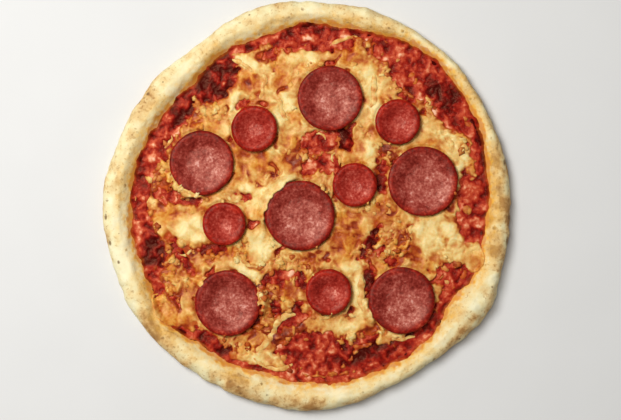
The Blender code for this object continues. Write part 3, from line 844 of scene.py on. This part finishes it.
def make_cheese(look):
    """Melted cheese: one lumpy sheet with holes, run together from shreds, over the edges of some slices."""
    points, triangles = lattice(CHEESE_MESH_STEP, CHEESE_MESH_REACH)
    margin = cheese_margin(points)
    points, triangles = clipped(points, triangles, margin, CHEESE_MESH_STEP, CHEESE_SMALLEST_PART)
    height, level, warmth, fat = cheese_form(points, cheese_margin(points))

    def rings(loop):
        """Straight down, to below the sauce's upper face."""
        yield np.column_stack([loop, np.full(len(loop), CHEESE_BOTTOM - CHEESE_SKIRT)])

    solid, faces = closed_sheet(points, height, triangles, rings)
    count = len(solid)
    looks = (("level", padded(level, count)), ("warmth", padded(warmth, count)), ("fat", padded(fat, count)))
    piece = finish_mesh("cheese_layer", solid, faces, look, looks)
    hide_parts("melted_cheese")


def make_slice(name, number, look):
    """A thin, round, slightly dished slice with a rounded edge."""
    x, y, radius, _ = ALL_SLICES[number]
    way = np.arange(SLICE_TURNS) * 2 * math.pi / SLICE_TURNS
    spot = on_circle(1.5, way, 3.0 * number + 0.5)
    outline = radius * (0.985 + 0.014 * rolling(spot, 1.0, 101) + 0.007 * rolling(spot, 0.3, 102))
    # The section from the middle out and back underneath: share of the outline, height over the upper face
    section = [(share, 0.0) for share in np.linspace(0.04, 0.95, 30)]
    for lean in np.radians(np.linspace(0, 90, 8)):
        inset = SLICE_EDGE_ROUNDING / radius * (1 - math.sin(lean))
        section.append((1 - inset, -SLICE_EDGE_ROUNDING * (1 - math.cos(lean))))
    for lean in np.radians(np.linspace(0, 90, 5)):
        inset = SLICE_UNDERSIDE_ROUNDING / radius * (1 - math.cos(lean))
        section.append((1 - inset, -SLICE_THICKNESS + SLICE_UNDERSIDE_ROUNDING * (1 - math.sin(lean))))
    section += [(share, -SLICE_THICKNESS) for share in (0.9, 0.7, 0.4)]
    rings = []
    for share, drop in section:
        flat = np.stack([x + outline * share * np.cos(way), y + outline * share * np.sin(way)], axis=1)
        top = slice_height(number, flat) + 0.12 * rolling(flat, 5, 103) + 0.06 * rolling(flat, 1.9, 104)
        rings.append(np.column_stack([flat, top + drop]))
    points = np.concatenate(rings + [[[x, y, SLICE_SEAT + SLICE_THICKNESS], [x, y, SLICE_SEAT]]])
    inward = radius - np.hypot(points[:, 0] - x, points[:, 1] - y)
    # The pale attribute is measured from a middle moved towards the lower right, for the painted sheen
    sheen_shift = PAINTED_SHEEN_SHIFT * radius
    pale = radius - np.hypot(points[:, 0] - x - sheen_shift, points[:, 1] - y + sheen_shift)
    looks = (("inward", inward), ("pale", pale))
    piece = finish_mesh(f"cured_{name}", points, ringed(len(section), SLICE_TURNS), look, looks)
    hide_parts(name)


def small_ball():
    """Points and faces of a round ball of radius 1."""
    made = bmesh.new()
    bmesh.ops.create_icosphere(made, subdivisions=2, radius=1.0)
    points = np.array([corner.co[:] for corner in made.verts])
    faces = np.array([[corner.index for corner in face.verts] for face in made.faces])
    made.free()
    return points, faces


def make_crumbs(look):
    """Crumbs of cheese and sausage, most of them 3 to 8 mm long, sunk more than half where they baked on."""
    draw = np.random.default_rng(11)
    ball, ball_faces = small_ball()
    spots = []
    for x, y, half_length, half_width, turn, count in CRUMB_PATCHES:
        reach = np.sqrt(draw.random(count))
        way = draw.random(count) * 2 * math.pi
        along, across = half_length * reach * np.cos(way), half_width * reach * np.sin(way)
        spots.append(np.stack(turned(along, across, math.radians(turn)), axis=1) + (x, y))
    spots = np.concatenate(spots)
    # Only some are kept, clear of the slices, the rim and the pale cheese, and few on bare sauce
    spots = spots[draw.random(len(spots)) < CRUMBS_KEPT]
    radius, direction = polar(spots)
    clear = (nearest_slice(spots) > -1.2) & (radius < sauce_edge(direction) - 2.5)
    clear &= areas(spots, PALE_CHEESE) < 0.3
    on_sauce = cheese_margin(spots) < 0.5
    spots = spots[clear & (~on_sauce | (draw.random(len(spots)) < CRUMBS_KEPT_ON_SAUCE))]
    margin = cheese_margin(spots)
    count = len(spots)
    # Each is an uneven ball with half axes in mm, turned its own way
    length = 1.2 + 2.4 * draw.random(count) ** 1.5
    width = length * (0.55 + 0.35 * draw.random(count))
    thickness = 0.7 + 0.5 * draw.random(count)
    yaw = draw.random(count) * 2 * math.pi
    shape = ball[None] * np.stack([length, width, thickness], axis=1)[:, None]
    uneven = rolling((ball[None] * 1.3 + 9.0 * np.arange(count)[:, None, None]).reshape(-1, 3), 1.0, 111)
    shape = shape * (1 + 0.45 * uneven.reshape(count, -1, 1))
    east, north = turned(shape[..., 0], shape[..., 1], yaw[:, None])
    seat = topping_height(spots) - CRUMB_SUNK * thickness
    points = np.stack([east + spots[:, :1], north + spots[:, 1:], shape[..., 2] + seat[:, None]], axis=-1)
    faces = (ball_faces[None] + len(ball) * np.arange(count)[:, None, None]).reshape(-1, 3)
    _, level, warmth, fat = cheese_form(spots, margin)
    meaty = draw.random(count) < SAUSAGE_CRUMBS
    level = np.where(meaty, 0.2, np.clip(0.1 + 0.8 * level, 0.4, 0.85)) + 0.16 * (draw.random(count) - 0.5)
    level = level[:, None] + 0.16 * shape[..., 2] / thickness[:, None]
    warmth = np.clip(warmth + 0.5 * (draw.random(count) - 0.5), 0, 1)
    warmth, fat = np.repeat(warmth, len(ball)), np.repeat(fat, len(ball))
    looks = (("level", level.reshape(-1)), ("warmth", warmth), ("fat", fat))
    piece = finish_mesh("cheese_crumbs", points.reshape(-1, 3), faces.tolist(), look, looks)


def tube(path, heading, width, height, sides):
    """A closed soft cord along a path, with a width and a height at each of its points."""
    around = np.arange(sides) * 2 * math.pi / sides
    across = np.stack([-np.sin(heading), np.cos(heading), np.zeros(len(path))], axis=1)
    rings = path[:, None] + across[:, None] * (width[:, None] * np.cos(around))[..., None]
    rings[..., 2] += height[:, None] * np.sin(around)
    return np.concatenate([rings.reshape(-1, 3), path[:1], path[-1:]]), ringed(len(path), sides)


def make_strands(look):
    """Shreds of cheese that melted without losing their shape and lie over the rest."""
    points, faces, level = [], [], []
    total = 0
    for number, (x, y, length, width, turn, bend) in enumerate(CHEESE_STRANDS):
        along = np.linspace(-0.5, 0.5, STRAND_RINGS)
        wander = rolling(np.stack([along * 4, along * 0 + number], axis=1), 1.0, 121)
        heading = np.radians(turn + bend * 2 * along + 25 * wander)
        path = np.cumsum(np.stack([np.cos(heading), np.sin(heading)], axis=1), axis=0) * length / len(along)
        path += (x, y) - path.mean(axis=0)
        lie = topping_height(path)
        lie = np.convolve(np.pad(lie, 4, mode="edge"), np.full(9, 1 / 9), mode="valid")
        taper = np.sqrt(1 - (1.96 * along) ** 2) ** 0.7
        half = STRAND_SPREAD / 2 * width * taper * (1 + 0.35 * rolling(path, 5, 122))
        path = np.column_stack([path, lie - 0.1])
        made, made_faces = tube(path, heading, half, 0.32 * half, STRAND_SIDES)
        points.append(made)
        faces += [tuple(corner + total for corner in face) for face in made_faces]
        total += len(made)
        level.append(0.66 + 0.22 * rolling(made, 4, 123))
    level = np.concatenate(level)
    looks = (("level", level), ("warmth", np.full(total, 0.15)), ("fat", np.zeros(total)))
    piece = finish_mesh("cheese_strands", np.concatenate(points), faces, look, looks)


# Materials

# Orange fat on the sauce, the cheese and the slices warms what they reflect
OILY_SHINE = "#FFD6BC"
TOMATO_SHINE = "#FFB48E"

# Dough from pale to browned, sauce from baked dark to pale pulp, and cheese from sunk in the sauce to
# thick; the sauce's palest pinks partly stand in for highlights, as painted highlight
DOUGH_COLOURS = ((0.0, "#F1E7BE"), (0.28, "#ECDCA8"), (0.52, "#E3C68C"), (0.76, "#D6AE70"), (1.0, "#B0824A"))
SAUCE_COLOURS_AND_HIGHLIGHTS = (
    (0.0, "#440504"), (0.22, "#6C0E0A"), (0.44, "#981E14"), (0.66, "#BE462A"),
    (0.85, "#E08A62"), (1.0, "#F2BC98"),
)
CREAM_CHEESE_COLOURS = (
    (0.0, "#600F06"), (0.2, "#98361A"), (0.4, "#C47C3A"), (0.6, "#D8A45C"),
    (0.8, "#E6C57C"), (1.0, "#EFDA9C"),
)
TOASTED_CHEESE_COLOURS = (
    (0.0, "#601006"), (0.2, "#902E0E"), (0.4, "#B4541A"), (0.6, "#D2842F"),
    (0.8, "#E0A44C"), (1.0, "#EABE6E"),
)

# Colours of the slices from the darkest lean to the palest fat, in the middle and near the edge
SALAMI_MEAT = ((0.0, "#64140F"), (0.3, "#82281F"), (0.55, "#9C3F34"), (0.8, "#BA6656"), (1.0, "#D49486"))
SALAMI_EDGE = ((0.0, "#560805"), (0.4, "#7E120A"), (0.7, "#A02416"), (1.0, "#C05038"))
PEPPERONI_MEAT = ((0.0, "#74140E"), (0.3, "#922219"), (0.55, "#A8382C"), (0.8, "#C25848"), (1.0, "#DA8A76"))
PEPPERONI_EDGE = ((0.0, "#680904"), (0.4, "#92160B"), (0.7, "#B22818"), (1.0, "#CC4A36"))


def linear(colour):
    """An sRGB hex colour as the linear numbers that shaders take."""
    parts = [int(colour[i : i + 2], 16) / 255 for i in (1, 3, 5)]
    parts = [part / 12.92 if part <= 0.04045 else ((part + 0.055) / 1.055) ** 2.4 for part in parts]
    return (*parts, 1.0)


def fill(tree, node, inputs):
    """Links a node's inputs to other nodes, or sets them to colours or numbers."""
    for socket, value in inputs.items():
        if isinstance(value, bpy.types.Node):
            value = next(out for out in value.outputs if out.enabled)
        if isinstance(value, bpy.types.NodeSocket):
            tree.links.new(value, node.inputs[socket])
        else:
            node.inputs[socket].default_value = linear(value) if isinstance(value, str) else value


def add(tree, kind, inputs=(), stops=(), **settings):
    """Adds a node with its settings and its inputs. Stops are the places and colours of a ramp."""
    made = tree.nodes.new("ShaderNode" + kind)
    for name, value in settings.items():
        setattr(made, name, value)
    fill(tree, made, dict(inputs))
    for i, (place, colour) in enumerate(stops):
        while len(made.color_ramp.elements) <= i:
            made.color_ramp.elements.new(1.0)
        made.color_ramp.elements[i].position = place
        made.color_ramp.elements[i].color = linear(colour)
    return made


def blank(name):
    """A new material, its tree, its surface shader, and places on the object in mm."""
    look = bpy.data.materials.new(name)
    look.use_nodes = True
    tree = look.node_tree
    place = add(tree, "TexCoord").outputs["Object"]
    scaled = add(tree, "VectorMath", {0: place, "Scale": 1000.0}, operation="SCALE")
    return look, tree, tree.nodes["Principled BSDF"], scaled


def baked_dough():
    """Wheat dough baked in a hot oven: floury, matt and cream, toasted gold where it stands up, with small
    brown scorch marks, and stained orange by tomato and fat along the sauce."""
    look, tree, surface, place = blank("baked_dough")
    toast_and_painted_light, stain, scorch = (
        add(tree, "Attribute", attribute_name=name).outputs["Fac"] for name in ("toast_and_painted_light", "stain", "scorch")
    )
    # Flour and crust mottle over about 5 mm
    mottle = add(tree, "TexNoise", {"Vector": place, "Scale": 1 / 5.0, "Detail": 5.0, "Roughness": 0.72})
    spread = add(tree, "Math", {0: mottle, 1: 1.0, 2: -0.5}, operation="MULTIPLY_ADD")
    # The toast is also painted darker as shade on the right outer flank and lighter as painted light on some
    # inner slopes
    warm = add(tree, "Math", {0: toast_and_painted_light, 1: spread}, operation="ADD", use_clamp=True)
    dough = add(tree, "ValToRGB", {0: warm}, stops=DOUGH_COLOURS)
    # Small brown specks 5 to 12 mm apart, and scorch marks 1 to 3 mm across
    scatter = add(tree, "TexVoronoi", {"Vector": place, "Scale": 1 / 8.0})
    own = add(tree, "SeparateColor", {0: scatter.outputs["Color"]})
    ragged = add(tree, "TexNoise", {"Vector": place, "Scale": 1 / 1.3, "Detail": 2.0})
    reach = add(tree, "Math", {0: own.outputs[1], 1: ragged}, operation="MULTIPLY")
    edge = add(tree, "Math", {0: reach, 1: 0.4, 2: 0.03}, operation="MULTIPLY_ADD")
    share = add(tree, "Math", {0: scatter, 1: edge}, operation="DIVIDE")
    mark = add(tree, "MapRange", {0: share, 1: 0.45, 2: 1.0, 3: 0.85, 4: 0.0})
    chosen = add(tree, "Math", {0: own.outputs[0], 1: 0.6}, operation="GREATER_THAN")
    specks = add(tree, "Math", {0: mark, 1: chosen}, operation="MULTIPLY", use_clamp=True)
    burnt = add(tree, "Math", {0: ragged, 1: scorch}, operation="MULTIPLY")
    spot = add(tree, "MapRange", {0: burnt, 1: 0.07, 2: 0.4, 3: 0.0, 4: 0.85})
    marked = add(tree, "Math", {0: specks, 1: spot}, operation="MAXIMUM")
    speckled = add(tree, "Mix", {0: marked, 6: dough, 7: "#74502C"}, data_type="RGBA")
    # Toasted bubbles in the skin about 2 mm across, crowded where it is toasted most
    bubbles = add(tree, "TexNoise", {"Vector": place, "Scale": 1 / 2.2, "Detail": 1.0})
    likely = add(tree, "Math", {0: warm, 1: 0.3, 2: bubbles}, operation="MULTIPLY_ADD")
    freckles = add(tree, "MapRange", {0: likely, 1: 0.7, 2: 0.95, 3: 0.0, 4: 0.8})
    freckled = add(tree, "Mix", {0: freckles, 6: speckled, 7: "#A5743C"}, data_type="RGBA")
    # A band of orange fat 3 to 6 mm wide, deep only at the sauce
    blotch = add(tree, "TexNoise", {"Vector": place, "Scale": 1 / 3.0, "Detail": 3.0})
    patchy = add(tree, "Math", {0: blotch, 1: 2.4, 2: -0.4}, operation="MULTIPLY_ADD")
    soaked = add(tree, "Math", {0: stain, 1: patchy}, operation="MULTIPLY", use_clamp=True)
    yellowed = add(tree, "Mix", {0: soaked, 6: freckled, 7: "#EFB548"}, data_type="RGBA")
    deep = add(tree, "Math", {0: stain, 1: 4.0, 2: -3.4}, operation="MULTIPLY_ADD", use_clamp=True)
    colour = add(tree, "Mix", {0: deep, 6: yellowed, 7: "#D07022"}, data_type="RGBA")
    # Open pores about 0.8 mm across on the 3 mm unevenness of the skin
    pores = add(tree, "TexNoise", {"Vector": place, "Scale": 1 / 0.8, "Detail": 4.0, "Roughness": 0.6})
    skin = add(tree, "TexNoise", {"Vector": place, "Scale": 1 / 3.2, "Detail": 3.0})
    grain = add(tree, "Math", {0: pores, 1: 0.5, 2: skin}, operation="MULTIPLY_ADD")
    bump = add(tree, "Bump", {"Height": grain, "Distance": 0.6 * MM, "Strength": 0.6})
    fill(tree, surface, {"Base Color": colour, "Roughness": 0.72, "Specular IOR Level": 0.25, "Normal": bump})
    return look


def cooked_tomato():
    """Tomato sauce reduced in the oven: wet and glossy with fine pulp, bright where it is thick, palest pink
    on its lumps as a painted highlight, almost black-red where it has dried, darkened as painted shade beside
    some slices, with orange fat along its edge."""
    look, tree, surface, place = blank("cooked_tomato")
    tone, fat = (add(tree, "Attribute", attribute_name=name).outputs["Fac"] for name in ("tone", "fat"))
    # Pulp and seeds about 2.4 mm across
    pulp = add(tree, "TexNoise", {"Vector": place, "Scale": 1 / 2.4, "Detail": 4.0, "Roughness": 0.55})
    spread = add(tree, "Math", {0: pulp, 1: 0.75, 2: -0.375}, operation="MULTIPLY_ADD")
    depth = add(tree, "Math", {0: tone, 1: spread}, operation="ADD", use_clamp=True)
    # The ramp's palest pinks are partly painted highlight
    red = add(tree, "ValToRGB", {0: depth}, stops=SAUCE_COLOURS_AND_HIGHLIGHTS)
    colour = add(tree, "Mix", {0: fat, 6: red, 7: "#B8561C"}, data_type="RGBA", clamp_factor=True)
    # Wetter and drier spots about 3 mm wide
    wet = add(tree, "TexNoise", {"Vector": place, "Scale": 1 / 3.0})
    rough = add(tree, "Math", {0: wet, 1: 0.3, 2: 0.1}, operation="MULTIPLY_ADD")
    bump = add(tree, "Bump", {"Height": pulp, "Distance": 0.8 * MM, "Strength": 0.8})
    shine = {"IOR": 1.36, "Specular IOR Level": 0.3, "Specular Tint": TOMATO_SHINE}
    fill(tree, surface, {"Base Color": colour, "Roughness": rough, "Normal": bump, **shine})
    return look


def melted_mozzarella():
    """Grated cheese melted and baked: cream where it is thick, gold where it is toasted, red where the sauce
    shows through, orange fat in its hollows, and light passes a little way into it."""
    look, tree, surface, place = blank("melted_mozzarella")
    level, warmth, fat = (
        add(tree, "Attribute", attribute_name=name).outputs["Fac"] for name in ("level", "warmth", "fat")
    )
    # Shreds about 2 mm wide that ran together
    shreds = add(tree, "TexNoise", {"Vector": place, "Scale": 1 / 2.1, "Detail": 3.0, "Roughness": 0.55})
    spread = add(tree, "Math", {0: shreds, 1: 0.5, 2: -0.25}, operation="MULTIPLY_ADD")
    shade = add(tree, "Math", {0: level, 1: spread}, operation="ADD", use_clamp=True)
    cream = add(tree, "ValToRGB", {0: shade}, stops=CREAM_CHEESE_COLOURS)
    toasted = add(tree, "ValToRGB", {0: shade}, stops=TOASTED_CHEESE_COLOURS)
    # Toasted in blotches about 4.5 mm wide
    blotch = add(tree, "TexNoise", {"Vector": place, "Scale": 1 / 4.5, "Detail": 2.0})
    uneven = add(tree, "Math", {0: blotch, 1: 0.9, 2: -0.45}, operation="MULTIPLY_ADD")
    share = add(tree, "Math", {0: warmth, 1: uneven}, operation="ADD", use_clamp=True)
    baked = add(tree, "Mix", {0: share, 6: cream, 7: toasted}, data_type="RGBA")
    oil = add(tree, "Math", {0: fat, 1: 0.9, 2: -0.28}, operation="MULTIPLY_ADD", use_clamp=True)
    colour = add(tree, "Mix", {0: oil, 6: baked, 7: "#BC4E1C"}, data_type="RGBA")
    rough = add(tree, "Math", {0: blotch, 1: 0.4, 2: 0.14}, operation="MULTIPLY_ADD")
    bump = add(tree, "Bump", {"Height": shreds, "Distance": 0.5 * MM, "Strength": 0.22})
    shine = {"IOR": 1.42, "Specular IOR Level": 0.25, "Specular Tint": OILY_SHINE}
    # Light travels about 1.5 mm inside it, the red part farthest
    glow = {"Subsurface Weight": 0.25, "Subsurface Radius": (1.0, 0.6, 0.3), "Subsurface Scale": 1.5 * MM}
    fill(tree, surface, {"Base Color": colour, "Roughness": rough, "Normal": bump, **shine, **glow})
    return look


def cured_sausage(name, meat, edge):
    """Cured sausage cut thin: ground meat with grains of fat 1 to 2 mm across, darker and redder where the
    heat has dried the edge, greasy on top."""
    look, tree, surface, place = blank(name)
    inward, pale = (
        add(tree, "Attribute", attribute_name=name).outputs["Fac"] for name in ("inward", "pale")
    )
    # Lean and fat ground to about 1.9 mm, uneven over about 9 mm, paler towards the middle, which dried less,
    # and palest towards the lower right as a painted sheen
    ground = add(tree, "TexNoise", {"Vector": place, "Scale": 1 / 1.9, "Detail": 3.0, "Roughness": 0.65})
    cloudy = add(tree, "TexNoise", {"Vector": place, "Scale": 1 / 9.0, "Detail": 2.0})
    both = add(tree, "Math", {0: cloudy, 1: 0.7, 2: ground}, operation="MULTIPLY_ADD")
    paler_middle_and_sheen = add(tree, "MapRange", {0: pale, 1: 3.0, 2: 19.0, 3: -0.12, 4: 0.15})
    speckled = add(tree, "Math", {0: both, 1: 1.6, 2: -0.86}, operation="MULTIPLY_ADD")
    mottle = add(tree, "Math", {0: speckled, 1: paler_middle_and_sheen}, operation="ADD", use_clamp=True)
    middle = add(tree, "ValToRGB", {0: mottle}, stops=meat)
    dried = add(tree, "ValToRGB", {0: mottle}, stops=edge)
    # The dried ring is darkest over 3 mm and gone by 6 mm, and wanders in and out
    wander = add(tree, "Math", {0: cloudy, 1: -3.0, 2: 1.5}, operation="MULTIPLY_ADD")
    depth = add(tree, "Math", {0: inward, 1: wander}, operation="ADD")
    ring = add(tree, "MapRange", {0: depth, 1: 2.8, 2: 6.5, 3: 1.0, 4: 0.0}, interpolation_type="SMOOTHSTEP")
    colour = add(tree, "Mix", {0: ring, 6: middle, 7: dried}, data_type="RGBA")
    # Grease in smears about 2.4 mm wide
    grease = add(tree, "TexNoise", {"Vector": place, "Scale": 1 / 2.4})
    smeared = add(tree, "Math", {0: grease, 1: 0.4, 2: 0.08}, operation="MULTIPLY_ADD")
    rough = add(tree, "Math", {0: ring, 1: 0.14, 2: smeared}, operation="MULTIPLY_ADD")
    bump = add(tree, "Bump", {"Height": ground, "Distance": 0.5 * MM, "Strength": 0.6})
    shine = {"IOR": 1.45, "Specular IOR Level": 0.28, "Specular Tint": OILY_SHINE}
    fill(tree, surface, {"Base Color": colour, "Roughness": rough, "Normal": bump, **shine})
    return look


def pale_paint():
    """Matt pale studio floor with the faint unevenness of rolled paint."""
    look, tree, surface, place = blank("pale_paint")
    # The roller left it uneven over about 60 mm
    roller = add(tree, "TexNoise", {"Vector": place, "Scale": 1 / 60.0})
    colour = add(tree, "Mix", {0: roller, 6: "#D9D8D5", 7: "#DEDDDA"}, data_type="RGBA")
    fill(tree, surface, {"Base Color": colour, "Roughness": 0.8})
    return look



# Floor, light and camera


def make_studio():
    """A wide pale floor just under the pizza, a soft lamp at the upper left, a weaker one high above it, and
    an even pale surround. Places are in metres and lamps in watts."""
    mesh = bpy.data.meshes.new("floor")
    half = 3.0
    corners = [(-half, -half), (half, -half), (half, half), (-half, half)]
    mesh.from_pydata([(x, y, -0.2 * MM) for x, y in corners], [], [(0, 1, 2, 3)])
    mesh.materials.append(pale_paint())
    floor = bpy.data.objects.new("floor", mesh)
    bpy.context.scene.collection.objects.link(floor)
    for name, place, size, power in (
        ("key_lamp", (-0.50, 0.36, 1.08), 0.5, 12.2),
        ("top_lamp", (-0.34, 0.30, 2.2), 0.8, 14.0),
    ):
        lamp = bpy.data.lights.new(name, "AREA")
        lamp.size = size
        lamp.energy = power
        made = bpy.data.objects.new(name, lamp)
        made.location = place
        made.rotation_euler = (-Vector(place)).to_track_quat("-Z", "Y").to_euler()
        bpy.context.scene.collection.objects.link(made)
    world = bpy.data.worlds.new("studio")
    world.use_nodes = True
    fill(world.node_tree, world.node_tree.nodes["Background"], {"Color": "#EFEEEC", "Strength": 0.22})
    bpy.context.scene.world = world


def make_camera():
    """Straight above, far enough away that the pizza is hardly foreshortened. The pizza sits a little left
    of and above the middle of the picture."""
    distance = 1500.0
    picture_width = 456.4
    middle = np.array((3.7, -2.9, 0.0)) + TO_FRAME
    camera = bpy.data.cameras.new("camera")
    camera.sensor_width = 36.0
    camera.lens = camera.sensor_width * (distance - BASE_TOP) / picture_width
    made = bpy.data.objects.new("camera", camera)
    made.location = (middle[0] * MM, middle[1] * MM, distance * MM)
    bpy.context.scene.collection.objects.link(made)
    bpy.context.scene.camera = made


def main():
    bpy.context.scene.view_settings.view_transform = "Standard"
    make_crust(baked_dough())
    make_sauce(cooked_tomato())
    cheese = melted_mozzarella()
    make_cheese(cheese)
    make_crumbs(cheese)
    make_strands(cheese)
    salami = cured_sausage("sliced_salami", SALAMI_MEAT, SALAMI_EDGE)
    pepperoni = cured_sausage("sliced_pepperoni", PEPPERONI_MEAT, PEPPERONI_EDGE)
    for i in range(len(SALAMI_SLICES)):
        make_slice(f"salami_slice_{i + 1}", i, salami)
    for i in range(len(PEPPERONI_SLICES)):
        make_slice(f"pepperoni_slice_{i + 1}", len(SALAMI_SLICES) + i, pepperoni)
    make_studio()
    make_camera()


main()
